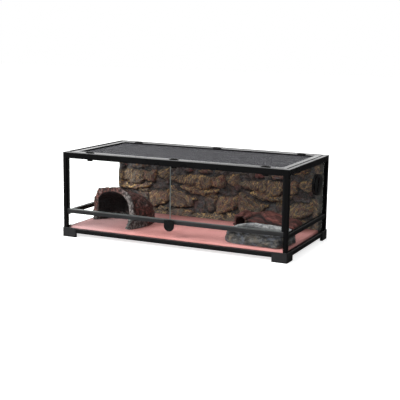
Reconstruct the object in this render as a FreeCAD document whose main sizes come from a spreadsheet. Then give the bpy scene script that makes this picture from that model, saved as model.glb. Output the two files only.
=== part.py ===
import FreeCAD, Part
import math
import operator
import os
from types import SimpleNamespace

import Sketcher

# Glass reptile terrarium with hinged doors, a screen lid, a cable port and its furnishing.
# Frame: +Z up, +X to the right, the doors face -Y. Origin: middle of the base, on the ground.

# Driving dimensions in millimetres. Every sub-part takes its sizes and its place from these.
SIZES = {
    # Whole object
    "length": 914,
    "depth": 457,
    "frame_height": 326,
    # Corner feet
    "foot_height": 36,
    "foot_leg": 58,
    "foot_skirt": 10,
    "foot_proud": 3,
    "foot_round": 4,
    "floor_clearance": 16,
    # Posts and rails
    "post_width": 15,
    "post_round": 2,
    "rail_height": 16,
    "side_rail_level": 84,
    "sill_level": 92,
    "sill_setback": 3,
    "sill_round": 3,
    # Top frame
    "top_rail_height": 22,
    "top_wall": 15,
    "top_round": 2,
    "ledge_width": 12,
    "ledge_height": 10,
    "corner_block": 24,
    "block_play": 0.5,
    # Glass
    "glass_thickness": 4,
    "groove_depth": 4.5,
    "glass_play": 0.3,
    "floor_thickness": 5,
    "floor_seat": 6,
    "floor_bite": 4,
    "floor_chamfer": 12,
    # Doors
    "door_gap": 2,
    "door_lift": 0.8,
    "hinge_offset": 3.8,
    "hinge_setback": 7.5,
    "stile_radius": 3,
    "stile_arm": 4.8,
    "stile_slot": 2.8,
    "stile_flat": 0.2,
    "pin_diameter": 2.4,
    "pin_play": 0.05,
    "pin_hold": 10,
    "pin_reach": 8,
    # Door lock
    "lock_width": 40,
    "lock_above": 8,
    "lock_below": 34,
    "lock_thickness": 3.8,
    "lock_boss_radius": 7,
    "lock_boss_height": 1.6,
    "lock_play": 0.2,
    "lock_shank_radius": 3,
    "lock_head_radius": 5,
    "lock_head_height": 1.2,
    "lock_dimple_radius": 6,
    "lock_dimple_depth": 0.8,
    # Screen lid
    "screen_gap": 6,
    "cut_margin": 1,
    "screen_side_bar": 20,
    "screen_long_bar": 26,
    "screen_thickness": 11.5,
    "mesh_drop": 5.5,
    "mesh_thickness": 0.8,
    "mesh_slot_height": 1.4,
    "mesh_slot_depth": 5,
    "mesh_wire": 2.4,
    "mesh_columns": 20,
    "mesh_rows": 10,
    # Screen latches
    "latch_inset": 78,
    "latch_length": 36,
    "latch_width": 12,
    "latch_chamfer": 4,
    "latch_thickness": 2.6,
    "latch_rib_length": 24,
    "latch_rib_width": 3,
    "latch_rib_height": 1.7,
    "latch_shank_radius": 4,
    "latch_play": 0.2,
    "tongue_length": 23,
    "tongue_width": 10,
    "tongue_height": 6,
    "tongue_play": 0.5,
    # Cable port
    "port_from_back": 92.5,
    "port_rise": 23,
    "port_flange_radius": 41,
    "port_flange_height": 2.5,
    "port_neck_radius": 35,
    "port_neck_wall": 3,
    "port_hole_radius": 13,
    "port_hole_offset": 17,
    "port_nut_radius": 40,
    "port_nut_height": 8,
    "port_nut_notch": 3,
    "port_nut_notches": 8,
    "port_play": 0.2,
    "shutter_radius": 15.5,
    "shutter_hub_radius": 7,
    "shutter_thickness": 2,
    "shutter_knob_radius": 3.5,
    "shutter_knob_height": 1.2,
    "rivet_radius": 2.5,
    "rivet_head_radius": 4.5,
    "rivet_head_height": 0.8,
    # Furnishing
    "rest_play": 0.3,
    "sand_depth": 15,
    "rock_base_depth": 45,
    "rock_base_height": 20,
    "rock_mean_depth": 30,
    "rock_relief": 12,
    "rock_top_gap": 8,
    "hide_width": 254,
    "hide_height": 147,
    "hide_length": 150,
    "hide_wall": 26,
    "hide_from_left": 129,
    "hide_from_front": 106,
    "hide_angle": -21.7,
    "bowl_width": 228,
    "bowl_depth": 158,
    "bowl_height": 52,
    "bowl_basin": 32,
    "bowl_lean": 12,
    "bowl_rim": 12,
    "basin_lean": 12,
    "bowl_from_right": 122,
    "bowl_from_front": 84,
    "bowl_angle": -4,
    "bark_length": 262,
    "bark_depth": 80,
    "bark_thickness": 9,
    "bark_height": 65,
    "bark_from_right": 185,
    "bark_clearance": 12,
    "bark_angle": -3,
}

# Outline of the cave hide as shares of its width and height, seen from its mouth.
HIDE_OUTLINE = [(-0.50, 0.0), (-0.49, 0.30), (-0.40, 0.76), (-0.35, 0.90), (-0.03, 1.0),
                (0.22, 0.99), (0.39, 0.89), (0.49, 0.58), (0.50, 0.0)]

# Sections of the cave hide from its mouth to its back: share of the length, width and height.
HIDE_SECTIONS = [(0.0, 1.0, 1.0), (0.55, 0.93, 0.80), (1.0, 0.60, 0.56)]

# Outline of the water bowl as shares of its half width and half depth, seen from above.
BOWL_OUTLINE = [(-1.0, -0.75), (-0.75, -1.0), (0.55, -0.97), (0.95, -0.85), (1.0, 0.1),
                (0.85, 0.85), (0.05, 1.0), (-0.85, 0.9)]

# Crest line of the bark slab as shares of its length and height, from left to right.
BARK_CREST = [(-0.50, 0.66), (-0.40, 0.80), (-0.355, 0.83), (-0.32, 0.72), (-0.15, 0.86),
              (0.0, 1.0), (0.09, 0.97), (0.20, 0.86), (0.33, 0.68), (0.43, 0.65), (0.50, 0.38)]

# Each corner: name, sign of X, sign of Y, turn that brings local +X and +Y inward.
CORNERS = [("front_left", -1, -1, 0), ("front_right", 1, -1, 90),
           ("back_right", 1, 1, 180), ("back_left", -1, 1, 270)]

# Each side: name, sign of X, sign of Y, turn that brings local +Y inward.
SIDES = [("front", 0, -1, 0), ("right", 1, 0, 90), ("back", 0, 1, 180), ("left", -1, 0, 270)]

# Four points within this many millimetres of one plane make one flat face.
FLATNESS = 1e-6

V = FreeCAD.Vector
OPERATIONS = {"+": operator.add, "-": operator.sub, "*": operator.mul, "/": operator.truediv}


class Size:
    """A number together with the sheet expression that gives it."""

    def __init__(self, value, text):
        self.value = value
        self.text = text

    def join(self, sign, other, flip=False):
        first, second = (as_size(other), self) if flip else (self, as_size(other))
        value = OPERATIONS[sign](first.value, second.value)
        return Size(value, f"({first.text} {sign} {second.text})")

    def __add__(self, other):
        return self.join("+", other)

    def __radd__(self, other):
        return self.join("+", other, flip=True)

    def __sub__(self, other):
        return self.join("-", other)

    def __rsub__(self, other):
        return self.join("-", other, flip=True)

    def __mul__(self, other):
        return self.join("*", other)

    def __rmul__(self, other):
        return self.join("*", other, flip=True)

    def __truediv__(self, other):
        return self.join("/", other)

    def __neg__(self):
        return self.join("-", 0.0, flip=True)


def as_size(value):
    return value if isinstance(value, Size) else Size(float(value), f"({float(value)!r})")


doc = FreeCAD.newDocument("Terrarium")
sheet = doc.addObject("Spreadsheet::Sheet", "Sizes")
for row, (alias, number) in enumerate(SIZES.items(), start=1):
    sheet.set(f"A{row}", alias)
    sheet.set(f"B{row}", str(number))
    sheet.setAlias(f"B{row}", alias)
doc.recompute()

d = SimpleNamespace(**{alias: Size(float(sheet.get(alias)), f"Sizes.{alias}") for alias in SIZES})
pieces = []


# Helpers that draw and place

def bind(obj, prop, size):
    obj.setExpression(prop, as_size(size).text)


def place(obj, x, y, z, turn=0.0):
    base = [as_size(value) for value in (x, y, z)]
    rotation = FreeCAD.Rotation(V(0, 0, 1), as_size(turn).value)
    obj.Placement = FreeCAD.Placement(V(*[size.value for size in base]), rotation)
    for axis, size in zip("xyz", base):
        bind(obj, f".Placement.Base.{axis}", size)


def keep(obj, label):
    obj.Label = label
    pieces.append(obj)
    return obj


def new_body(label):
    return keep(doc.addObject("PartDesign::Body", label), label)


def new_sketch(body, plane, offset=0.0):
    sketch = body.newObject("Sketcher::SketchObject", "Sketch")
    support = [item for item in body.Origin.OriginFeatures if item.Role == plane]
    sketch.AttachmentSupport = [(support[0], "")]
    sketch.MapMode = "FlatFace"
    bind(sketch, ".AttachmentOffset.Base.z", offset)
    return sketch


def fix_point(sketch, geometry, position, point):
    for kind, size in zip(("DistanceX", "DistanceY"), point):
        rule = Sketcher.Constraint(kind, -1, 1, geometry, position, size.value)
        bind(sketch, f"Constraints[{sketch.addConstraint(rule)}]", size)


def tangent_point(corner, neighbour, radius):
    run_x = neighbour[0].value - corner[0].value
    run_y = neighbour[1].value - corner[1].value
    if abs(run_x) > abs(run_y):
        return corner[0] + radius * math.copysign(1, run_x), corner[1]
    return corner[0], corner[1] + radius * math.copysign(1, run_y)


def add_round(sketch, corner, before, after, radius):
    """Adds the arc of a rounded square corner and returns the positions of its two ends."""
    centre = [before[i].value + after[i].value - corner[i].value for i in (0, 1)]
    start, end = [math.atan2(point[1].value - centre[1], point[0].value - centre[0])
                  for point in (before, after)]
    forward = math.sin(end - start) > 0
    if not forward:
        start, end = end, start
    circle = Part.Circle(V(centre[0], centre[1], 0), V(0, 0, 1), radius.value)
    arc = sketch.addGeometry(Part.ArcOfCircle(circle, start, end))
    rule = Sketcher.Constraint("Radius", arc, radius.value)
    bind(sketch, f"Constraints[{sketch.addConstraint(rule)}]", radius)
    return arc, (1, 2) if forward else (2, 1)


def outline(sketch, corners):
    """Draws a closed outline. A square corner with a third value is rounded by that radius."""
    points = [(as_size(corner[0]), as_size(corner[1])) for corner in corners]
    radii = [as_size(corner[2]) if len(corner) > 2 else None for corner in corners]
    before, after = list(points), list(points)
    count = len(points)
    for i, radius in enumerate(radii):
        if radius:
            before[i] = tangent_point(points[i], points[i - 1], radius)
            after[i] = tangent_point(points[i], points[(i + 1) % count], radius)
    lines = []
    for i in range(count):
        ends = [V(point[0].value, point[1].value, 0) for point in (after[i], before[(i + 1) % count])]
        lines.append(sketch.addGeometry(Part.LineSegment(*ends)))
    for i, radius in enumerate(radii):
        fix_point(sketch, lines[i], 1, after[i])
        if radius:
            arc, (start, end) = add_round(sketch, points[i], before[i], after[i], radius)
            fix_point(sketch, lines[i - 1], 2, before[i])
            sketch.addConstraint(Sketcher.Constraint("Coincident", lines[i - 1], 2, arc, start))
            sketch.addConstraint(Sketcher.Constraint("Coincident", arc, end, lines[i], 1))
        else:
            sketch.addConstraint(Sketcher.Constraint("Coincident", lines[i - 1], 2, lines[i], 1))


def rectangle(sketch, low, high, radius=None):
    corners = [(low[0], low[1]), (high[0], low[1]), (high[0], high[1]), (low[0], high[1])]
    outline(sketch, [corner + (radius,) if radius else corner for corner in corners])


def circle(sketch, x, y, radius):
    x, y, radius = as_size(x), as_size(y), as_size(radius)
    shape = Part.Circle(V(x.value, y.value, 0), V(0, 0, 1), radius.value)
    ring = sketch.addGeometry(shape)
    fix_point(sketch, ring, 3, (x, y))
    rule = Sketcher.Constraint("Radius", ring, radius.value)
    bind(sketch, f"Constraints[{sketch.addConstraint(rule)}]", radius)


def pad(body, sketch, length, symmetric=False, reverse=False):
    feature = body.newObject("PartDesign::Pad", "Pad")
    feature.Profile = sketch
    feature.SideType = "Symmetric" if symmetric else "One side"
    feature.Reversed = reverse
    bind(feature, "Length", length)
    return feature


def pocket(body, sketch, length, reverse=False):
    feature = body.newObject("PartDesign::Pocket", "Pocket")
    feature.Profile = sketch
    feature.Reversed = reverse
    bind(feature, "Length", length)
    return feature


def box(low, high, name="Box"):
    shape = doc.addObject("Part::Box", name)
    for prop, start, end in zip(("Length", "Width", "Height"), low, high):
        bind(shape, prop, as_size(end) - start)
    place(shape, *low)
    return shape


def cylinder(x, y, z, radius, height, name="Cylinder"):
    shape = doc.addObject("Part::Cylinder", name)
    bind(shape, "Radius", radius)
    bind(shape, "Height", height)
    place(shape, x, y, z)
    return shape


def joined(kind, shapes, name):
    result = doc.addObject(kind, name)
    setattr(result, "Links" if kind == "Part::Compound" else "Shapes", shapes)
    return result


def cut(base, tool, name):
    result = doc.addObject("Part::Cut", name)
    result.Base = base
    result.Tool = tool
    return result


# Planes and levels that several pieces share

half_x = d.length / 2 - d.foot_proud
half_y = d.depth / 2 - d.foot_proud
inner_x = half_x - d.post_width
inner_y = half_y - d.post_width
top_level = d.frame_height - d.top_rail_height
ledge_level = top_level + d.ledge_height
sill_top = d.sill_level + d.rail_height
floor_top = d.floor_clearance + d.floor_seat + d.floor_thickness
sand_top = floor_top + d.sand_depth
rock_front = inner_y - d.rock_base_depth

groove_low = (d.post_width - d.glass_thickness) / 2 - d.glass_play
groove_high = (d.post_width + d.glass_thickness) / 2 + d.glass_play
glass_bite = d.groove_depth - d.glass_play
glass_x = half_x - d.post_width / 2
glass_y = half_y - d.post_width / 2

hinge_x = inner_x - d.hinge_offset
hinge_y = d.hinge_setback - half_y
pin_radius = d.pin_diameter / 2
door_low = sill_top + d.door_lift
door_high = top_level - d.door_lift

screen_x = half_x - d.top_wall - d.screen_gap
screen_y = half_y - d.top_wall - d.screen_gap
screen_top = ledge_level + d.screen_thickness
latch_x = screen_x - d.latch_inset
latch_y = screen_y - d.screen_long_bar / 2

port_face = glass_x + d.glass_thickness / 2
port_y = inner_y - d.port_from_back
port_z = (d.side_rail_level + d.rail_height + top_level) / 2 + d.port_rise


# Frame

def make_foot(label, sign_x, sign_y, turn):
    body = new_body(label)
    corner = d.foot_proud + d.post_width
    base = new_sketch(body, "XY_Plane")
    outline(base, [(0, 0, d.foot_round), (d.foot_leg, 0), (d.foot_leg, d.foot_skirt),
                   (corner, d.foot_skirt), (corner, corner), (d.foot_skirt, corner),
                   (d.foot_skirt, d.foot_leg), (0, d.foot_leg)])
    pad(body, base, d.floor_clearance)
    lip = new_sketch(body, "XY_Plane", d.floor_clearance)
    outline(lip, [(0, 0, d.foot_round), (d.foot_leg, 0), (d.foot_leg, d.foot_proud),
                  (d.foot_proud, d.foot_proud), (d.foot_proud, d.foot_leg), (0, d.foot_leg)])
    pad(body, lip, d.foot_height - d.floor_clearance)
    place(body, d.length / 2 * sign_x, d.depth / 2 * sign_y, 0, turn)


def make_post(label, sign_x, sign_y, turn):
    body = new_body(label)
    width = d.post_width
    groove_end = width - d.groove_depth
    profile = new_sketch(body, "XY_Plane")
    outline(profile, [(0, 0, d.post_round), (width, 0), (width, groove_low), (groove_end, groove_low),
                      (groove_end, groove_high), (width, groove_high), (width, width),
                      (groove_high, width), (groove_high, groove_end), (groove_low, groove_end),
                      (groove_low, width), (0, width)])
    pad(body, profile, top_level - d.floor_clearance)
    place(body, half_x * sign_x, half_y * sign_y, d.floor_clearance, turn)


def make_top_corner(label, sign_x, sign_y, turn):
    body = new_body(label)
    size = d.corner_block
    base = new_sketch(body, "XY_Plane")
    outline(base, [(0, 0, d.post_round), (size, 0), (size, size), (0, size)])
    pad(body, base, d.top_rail_height)
    seat = d.top_wall + d.screen_gap - d.block_play
    notch = new_sketch(body, "XY_Plane", d.top_rail_height)
    rectangle(notch, (seat, seat), (size + d.block_play, size + d.block_play))
    pocket(body, notch, d.top_rail_height - d.ledge_height)
    groove_start = d.post_width - d.groove_depth
    grooves = {"x": ((groove_start, groove_low), (size + d.block_play, groove_high)),
               "y": ((groove_low, groove_start), (groove_high, size + d.block_play))}
    if sign_y < 0:
        along = d.post_width + d.hinge_offset
        spot = (along, d.hinge_setback) if sign_x < 0 else (d.hinge_setback, along)
        hole = new_sketch(body, "XY_Plane")
        circle(hole, *spot, pin_radius + d.pin_play)
        pocket(body, hole, d.pin_reach + d.glass_play, reverse=True)
        del grooves["x" if sign_x < 0 else "y"]
    for low, high in grooves.values():
        groove = new_sketch(body, "XY_Plane")
        rectangle(groove, low, high)
        pocket(body, groove, d.groove_depth, reverse=True)
    place(body, half_x * sign_x, half_y * sign_y, top_level, turn)


def place_rail(body, sign_x, sign_y, turn, level):
    place(body, half_x * sign_x, half_y * sign_y, level, turn)


def span(sign_y, end_inset):
    """Length of a rail between two corners, given how far its ends stand in from the outer faces."""
    return ((half_x if sign_y else half_y) - end_inset) * 2


def make_bottom_rail(label, sign_x, sign_y, turn):
    body = new_body(label)
    width, height = d.post_width, d.rail_height
    floor_side = width - d.floor_bite
    floor_high = d.floor_seat + d.floor_thickness + d.glass_play
    groove_floor = height - d.groove_depth
    profile = new_sketch(body, "YZ_Plane")
    outline(profile, [(0, 0), (width, 0), (width, d.floor_seat), (floor_side, d.floor_seat),
                      (floor_side, floor_high), (width, floor_high), (width, height),
                      (groove_high, height), (groove_high, groove_floor), (groove_low, groove_floor),
                      (groove_low, height), (0, height, d.post_round)])
    pad(body, profile, span(sign_y, d.post_width), symmetric=True)
    place_rail(body, sign_x, sign_y, turn, d.floor_clearance)


def make_mid_rail(label, sign_x, sign_y, turn):
    body = new_body(label)
    width, height = d.post_width, d.rail_height
    groove_floor = height - d.groove_depth
    profile = new_sketch(body, "YZ_Plane")
    outline(profile, [(0, 0, d.post_round), (groove_low, 0), (groove_low, d.groove_depth),
                      (groove_high, d.groove_depth), (groove_high, 0), (width, 0), (width, height),
                      (groove_high, height), (groove_high, groove_floor), (groove_low, groove_floor),
                      (groove_low, height), (0, height, d.post_round)])
    pad(body, profile, span(sign_y, d.post_width), symmetric=True)
    place_rail(body, sign_x, sign_y, turn, d.side_rail_level)


def make_sill(label):
    body = new_body(label)
    width, height = d.post_width, d.rail_height
    profile = new_sketch(body, "YZ_Plane")
    outline(profile, [(d.sill_setback, 0), (groove_low, 0), (groove_low, d.groove_depth),
                      (groove_high, d.groove_depth), (groove_high, 0), (width, 0), (width, height),
                      (d.sill_setback, height, d.sill_round)])
    pad(body, profile, span(1, d.post_width), symmetric=True)
    holes = new_sketch(body, "XY_Plane", height)
    for sign in (-1, 1):
        circle(holes, hinge_x * sign, d.hinge_setback, pin_radius + d.pin_play)
    pocket(body, holes, d.pin_reach + d.glass_play)
    place_rail(body, 0, -1, 0, d.sill_level)


def make_top_rail(label, sign_x, sign_y, turn):
    body = new_body(label)
    wall, height = d.top_wall, d.top_rail_height
    upper = [(wall, 0), (wall, height, d.top_round), (0, height, d.top_round)]
    groove = [(groove_low, 0), (groove_low, d.groove_depth), (groove_high, d.groove_depth), (groove_high, 0)]
    glazed = sign_y >= 0
    profile = new_sketch(body, "YZ_Plane")
    outline(profile, [(0, 0)] + (groove if glazed else []) + upper)
    pad(body, profile, span(sign_y, d.corner_block), symmetric=True)
    ledge = new_sketch(body, "YZ_Plane")
    rectangle(ledge, (wall, 0), (wall + d.ledge_width, d.ledge_height))
    ledge_end = d.corner_block if sign_y else wall + d.ledge_width
    pad(body, ledge, span(sign_y, ledge_end), symmetric=True)
    place_rail(body, sign_x, sign_y, turn, top_level)


# Glass

def make_side_pane(label, sign_x, low, high):
    middle = glass_x * sign_x
    reach = inner_y + glass_bite
    half = d.glass_thickness / 2
    return box((middle - half, -reach, low), (middle + half, reach, high), label)


def make_cross_pane(label, sign_y, low, high):
    middle = glass_y * sign_y
    reach = inner_x + glass_bite
    half = d.glass_thickness / 2
    return box((-reach, middle - half, low), (reach, middle + half, high), label)


def make_floor_pane(label):
    body = new_body(label)
    reach_x = inner_x + d.floor_bite - d.glass_play
    reach_y = inner_y + d.floor_bite - d.glass_play
    cut_x = reach_x - d.floor_chamfer
    cut_y = reach_y - d.floor_chamfer
    shape = new_sketch(body, "XY_Plane")
    outline(shape, [(-cut_x, -reach_y), (cut_x, -reach_y), (reach_x, -cut_y), (reach_x, cut_y),
                    (cut_x, reach_y), (-cut_x, reach_y), (-reach_x, cut_y), (-reach_x, -cut_y)])
    pad(body, shape, d.floor_thickness)
    place(body, 0, 0, d.floor_clearance + d.floor_seat)


def make_glass():
    make_floor_pane("floor_glass")
    lower_low = d.floor_clearance + d.rail_height - d.groove_depth
    lower_high = d.side_rail_level + glass_bite
    upper_low = d.side_rail_level + d.rail_height - d.groove_depth
    upper_high = top_level + glass_bite
    for name, sign in (("left", -1), ("right", 1)):
        keep(make_side_pane(f"lower_glass_{name}_pane", sign, lower_low, lower_high), f"lower_glass_{name}")
    keep(make_cross_pane("lower_glass_back_pane", 1, lower_low, lower_high), "lower_glass_back")
    keep(make_cross_pane("lower_glass_front_pane", -1, lower_low, d.sill_level + glass_bite), "lower_glass_front")
    keep(make_side_pane("upper_glass_left_pane", -1, upper_low, upper_high), "upper_glass_left")
    keep(make_cross_pane("upper_glass_back_pane", 1, upper_low, upper_high), "upper_glass_back")
    whole = make_side_pane("upper_glass_right_blank", 1, upper_low, upper_high)
    hole = cylinder(port_face - d.glass_thickness * 2, port_y, port_z, d.port_neck_radius + d.port_play,
                    d.glass_thickness * 3, "port_hole")
    hole.Placement.Rotation = FreeCAD.Rotation(V(0, 1, 0), 90)
    keep(cut(whole, hole, "upper_glass_right_cut"), "upper_glass_right")


# Doors

def make_door(name, sign):
    low, high = sorted((hinge_x - d.stile_arm + d.stile_slot, d.door_gap / 2), key=lambda size: size.value)
    ends = (-high, -low) if sign < 0 else (low, high)
    half = d.glass_thickness / 2
    glass = box((ends[0], hinge_y - half, door_low), (ends[1], hinge_y + half, door_high), f"door_{name}_pane")
    keep(glass, f"door_glass_{name}")

    stile = new_body(f"door_stile_{name}")
    radius, arm = d.stile_radius, d.stile_arm
    nose_round = radius - d.stile_flat
    slot_end = arm - d.stile_slot
    profile = new_sketch(stile, "XY_Plane")
    outline(profile, [(-radius, -radius, nose_round), (arm, -radius), (arm, -half), (slot_end, -half),
                      (slot_end, half), (arm, half), (arm, radius), (-radius, radius, nose_round)])
    pad(stile, profile, door_high - door_low)
    for level, reverse in ((0, True), (door_high - door_low, False)):
        hole = new_sketch(stile, "XY_Plane", level)
        circle(hole, 0, 0, pin_radius)
        pocket(stile, hole, d.pin_hold, reverse)
    place(stile, hinge_x * sign, hinge_y, door_low, 0 if sign < 0 else 180)

    length = d.pin_hold + d.pin_reach + d.door_lift
    pins = [cylinder(hinge_x * sign, hinge_y, level, pin_radius, length, f"door_pin_{name}")
            for level in (sill_top - d.pin_reach, door_high - d.pin_hold)]
    keep(joined("Part::Compound", pins, f"hinge_pins_{name}_pair"), f"hinge_pins_{name}")


def make_lock():
    face = d.sill_setback - half_y
    level = d.sill_level + d.rail_height / 2 - d.glass_play
    tab_back = d.lock_boss_height + d.lock_play
    tab_front = tab_back + d.lock_thickness
    head_back = tab_front - d.lock_head_height
    recess = d.lock_head_height + d.lock_play

    rivet = new_body("lock_rivet")
    for radius, start, length in ((d.lock_boss_radius, as_size(0), d.lock_boss_height),
                                  (d.lock_shank_radius, d.lock_boss_height, head_back - d.lock_boss_height),
                                  (d.lock_head_radius, head_back, d.lock_head_height)):
        ring = new_sketch(rivet, "XZ_Plane", start)
        circle(ring, 0, 0, radius)
        pad(rivet, ring, length)
    place(rivet, 0, face, level)

    tab = new_body("door_lock_tab")
    half = d.lock_width / 2
    bottom_round = half - d.stile_flat
    shield = new_sketch(tab, "XZ_Plane", tab_back)
    outline(shield, [(-half, -d.lock_below, bottom_round), (half, -d.lock_below, bottom_round),
                     (half, d.lock_above, d.sill_round), (-half, d.lock_above, d.sill_round)])
    pad(tab, shield, d.lock_thickness)
    for x, z, radius, depth in ((0, 0, d.lock_shank_radius + d.pin_play, d.lock_thickness),
                                (0, 0, d.lock_head_radius + d.lock_play, recess),
                                (0, d.lock_above - d.lock_below / 2 - half / 2, d.lock_dimple_radius,
                                 d.lock_dimple_depth)):
        hole = new_sketch(tab, "XZ_Plane", tab_front)
        circle(hole, x, z, radius)
        pocket(tab, hole, depth)
    place(tab, 0, face, level)


# Screen lid

def make_screen_frame():
    open_x = screen_x - d.screen_side_bar
    open_y = screen_y - d.screen_long_bar
    slot_x = open_x + d.mesh_slot_depth
    slot_y = open_y + d.mesh_slot_depth
    slot_low = screen_top - d.mesh_drop - d.mesh_slot_height / 2
    whole = box((-screen_x, -screen_y, ledge_level), (screen_x, screen_y, screen_top), "screen_blank")
    cut_low, cut_high = ledge_level - d.cut_margin, screen_top + d.cut_margin
    tools = [box((-open_x, -open_y, cut_low), (open_x, open_y, cut_high), "screen_opening"),
             box((-slot_x, -slot_y, slot_low), (slot_x, slot_y, slot_low + d.mesh_slot_height), "mesh_slot")]
    for sign_x in (-1, 0, 1):
        for sign_y in (-1, 1):
            tools.append(cylinder(latch_x * sign_x, latch_y * sign_y, cut_low,
                                  d.latch_shank_radius + d.pin_play, cut_high - cut_low, "latch_hole"))
    keep(cut(whole, joined("Part::MultiFuse", tools, "screen_tools"), "screen_cut"), "screen_frame")


def make_screen_mesh():
    """One holed face, thickened: the border sits in the slot of the screen frame."""
    open_x = (screen_x - d.screen_side_bar).value
    open_y = (screen_y - d.screen_long_bar).value
    border = (d.mesh_slot_depth - d.glass_play).value
    wire = d.mesh_wire.value
    columns, rows = int(d.mesh_columns.value), int(d.mesh_rows.value)
    pitch_x = (2 * open_x + wire) / columns
    pitch_y = (2 * open_y + wire) / rows

    def loop(x0, y0, x1, y1):
        return Part.makePolygon([V(x0, y0, 0), V(x1, y0, 0), V(x1, y1, 0), V(x0, y1, 0), V(x0, y0, 0)])

    wires = [loop(-open_x - border, -open_y - border, open_x + border, open_y + border)]
    for i in range(columns):
        for j in range(rows):
            x, y = -open_x + i * pitch_x, -open_y + j * pitch_y
            wires.append(loop(x, y, x + pitch_x - wire, y + pitch_y - wire))
    face = Part.Face(wires, "Part::FaceMakerBullseye")
    mesh = doc.addObject("Part::Feature", "screen_mesh_sheet")
    mesh.Shape = face.extrude(V(0, 0, d.mesh_thickness.value))
    place(mesh, 0, 0, screen_top - d.mesh_drop - d.mesh_thickness / 2)
    keep(mesh, "screen_mesh")


def make_latch(label, sign_x, sign_y):
    body = new_body(label)
    lever_low = d.latch_play
    lever_high = lever_low + d.latch_thickness
    tongue_high = top_level - d.tongue_play - screen_top

    def bar(length, width, chamfer, start, height, reverse=False):
        sketch = new_sketch(body, "XY_Plane", start)
        end, side = length / 2, width / 2
        inner_end, inner_side = end - chamfer, side - chamfer
        outline(sketch, [(-inner_end, -side), (inner_end, -side), (end, -inner_side), (end, inner_side),
                         (inner_end, side), (-inner_end, side), (-end, inner_side), (-end, -inner_side)])
        pad(body, sketch, height, reverse=reverse)

    bar(d.latch_length, d.latch_width, d.latch_chamfer, lever_low, d.latch_thickness)
    bar(d.latch_rib_length, d.latch_rib_width, d.latch_rib_width / 4, lever_high, d.latch_rib_height)
    shank = new_sketch(body, "XY_Plane", lever_low)
    circle(shank, 0, 0, d.latch_shank_radius)
    pad(body, shank, lever_low - tongue_high, reverse=True)
    bar(d.tongue_length, d.tongue_width, d.latch_chamfer, tongue_high, d.tongue_height, reverse=True)
    place(body, latch_x * sign_x, latch_y * sign_y, screen_top)


# Cable port in the right glass

def make_port():
    flange = new_body("port_flange")
    plate = new_sketch(flange, "YZ_Plane")
    circle(plate, 0, 0, d.port_flange_radius)
    circle(plate, 0, d.port_hole_offset, d.port_hole_radius)
    circle(plate, 0, 0, d.rivet_radius)
    pad(flange, plate, d.port_flange_height)
    neck = new_sketch(flange, "YZ_Plane")
    circle(neck, 0, 0, d.port_neck_radius)
    circle(neck, 0, 0, d.port_neck_radius - d.port_neck_wall)
    pad(flange, neck, d.glass_thickness + d.port_nut_height, reverse=True)
    place(flange, port_face, port_y, port_z)

    nut = new_body("port_ring_nut")
    ring = new_sketch(nut, "YZ_Plane")
    circle(ring, 0, 0, d.port_nut_radius)
    circle(ring, 0, 0, d.port_neck_radius + d.pin_play)
    pad(nut, ring, d.port_nut_height, reverse=True)
    notch = new_sketch(nut, "YZ_Plane")
    circle(notch, 0, d.port_nut_radius + d.port_nut_notch / 3, d.port_nut_notch)
    grip = pocket(nut, notch, d.port_nut_height)
    grips = nut.newObject("PartDesign::PolarPattern", "Grips")
    grips.Originals = [grip]
    grips.Axis = (notch, ["N_Axis"])
    grips.Angle = 360
    bind(grips, "Occurrences", d.port_nut_notches)
    nut.Tip = grips
    place(nut, port_face - d.glass_thickness, port_y, port_z)

    shutter_low = d.port_flange_height + d.port_play
    shutter_high = shutter_low + d.shutter_thickness
    shutter = new_body("port_shutter")
    for offset, radius, start, height in (
            (-d.port_hole_offset, d.shutter_radius, shutter_low, d.shutter_thickness),
            (as_size(0), d.shutter_hub_radius, shutter_low, d.shutter_thickness),
            (-d.port_hole_offset - d.shutter_radius / 2, d.shutter_knob_radius, shutter_high,
             d.shutter_knob_height)):
        disc = new_sketch(shutter, "YZ_Plane", start)
        circle(disc, 0, offset, radius)
        pad(shutter, disc, height)
    hole = new_sketch(shutter, "YZ_Plane", shutter_high)
    circle(hole, 0, 0, d.rivet_radius + d.pin_play)
    pocket(shutter, hole, d.shutter_thickness)
    place(shutter, port_face, port_y, port_z)

    rivet = new_body("port_rivet")
    head_low = shutter_high + d.port_play
    for radius, start, height in ((d.rivet_radius, as_size(0), head_low),
                                  (d.rivet_head_radius, head_low, d.rivet_head_height)):
        disc = new_sketch(rivet, "YZ_Plane", start)
        circle(disc, 0, 0, radius)
        pad(rivet, disc, height)
    place(rivet, port_face, port_y, port_z)


# Furnishing

def make_sand():
    reach_x = inner_x - d.rest_play
    low = (-reach_x, d.rest_play - inner_y, floor_top)
    keep(box(low, (reach_x, rock_front - d.rest_play, sand_top), "sand"), "sand_bed")


def flat_faces(points):
    """The face through these points, or two triangles where four points don't lie in one plane."""
    if len(points) == 4:
        normal = (points[1] - points[0]).cross(points[2] - points[0])
        if abs(normal.dot(points[3] - points[0])) > FLATNESS * normal.Length:
            return flat_faces(points[:3]) + flat_faces([points[0], points[2], points[3]])
    return [Part.Face(Part.makePolygon(points + points[:1]))]


def skinned(rings):
    """A solid with flat faces through closed rings of points, with the first and last ring as its ends."""
    faces = flat_faces(rings[0]) + flat_faces(rings[-1])
    for near, far in zip(rings, rings[1:]):
        for i in range(len(near)):
            faces += flat_faces([near[i - 1], near[i], far[i], far[i - 1]])
    shell = Part.makeShell(faces)
    shell.sewShape()
    solid = Part.makeSolid(shell)
    if solid.Volume < 0:
        solid.reverse()
    return solid


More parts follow.
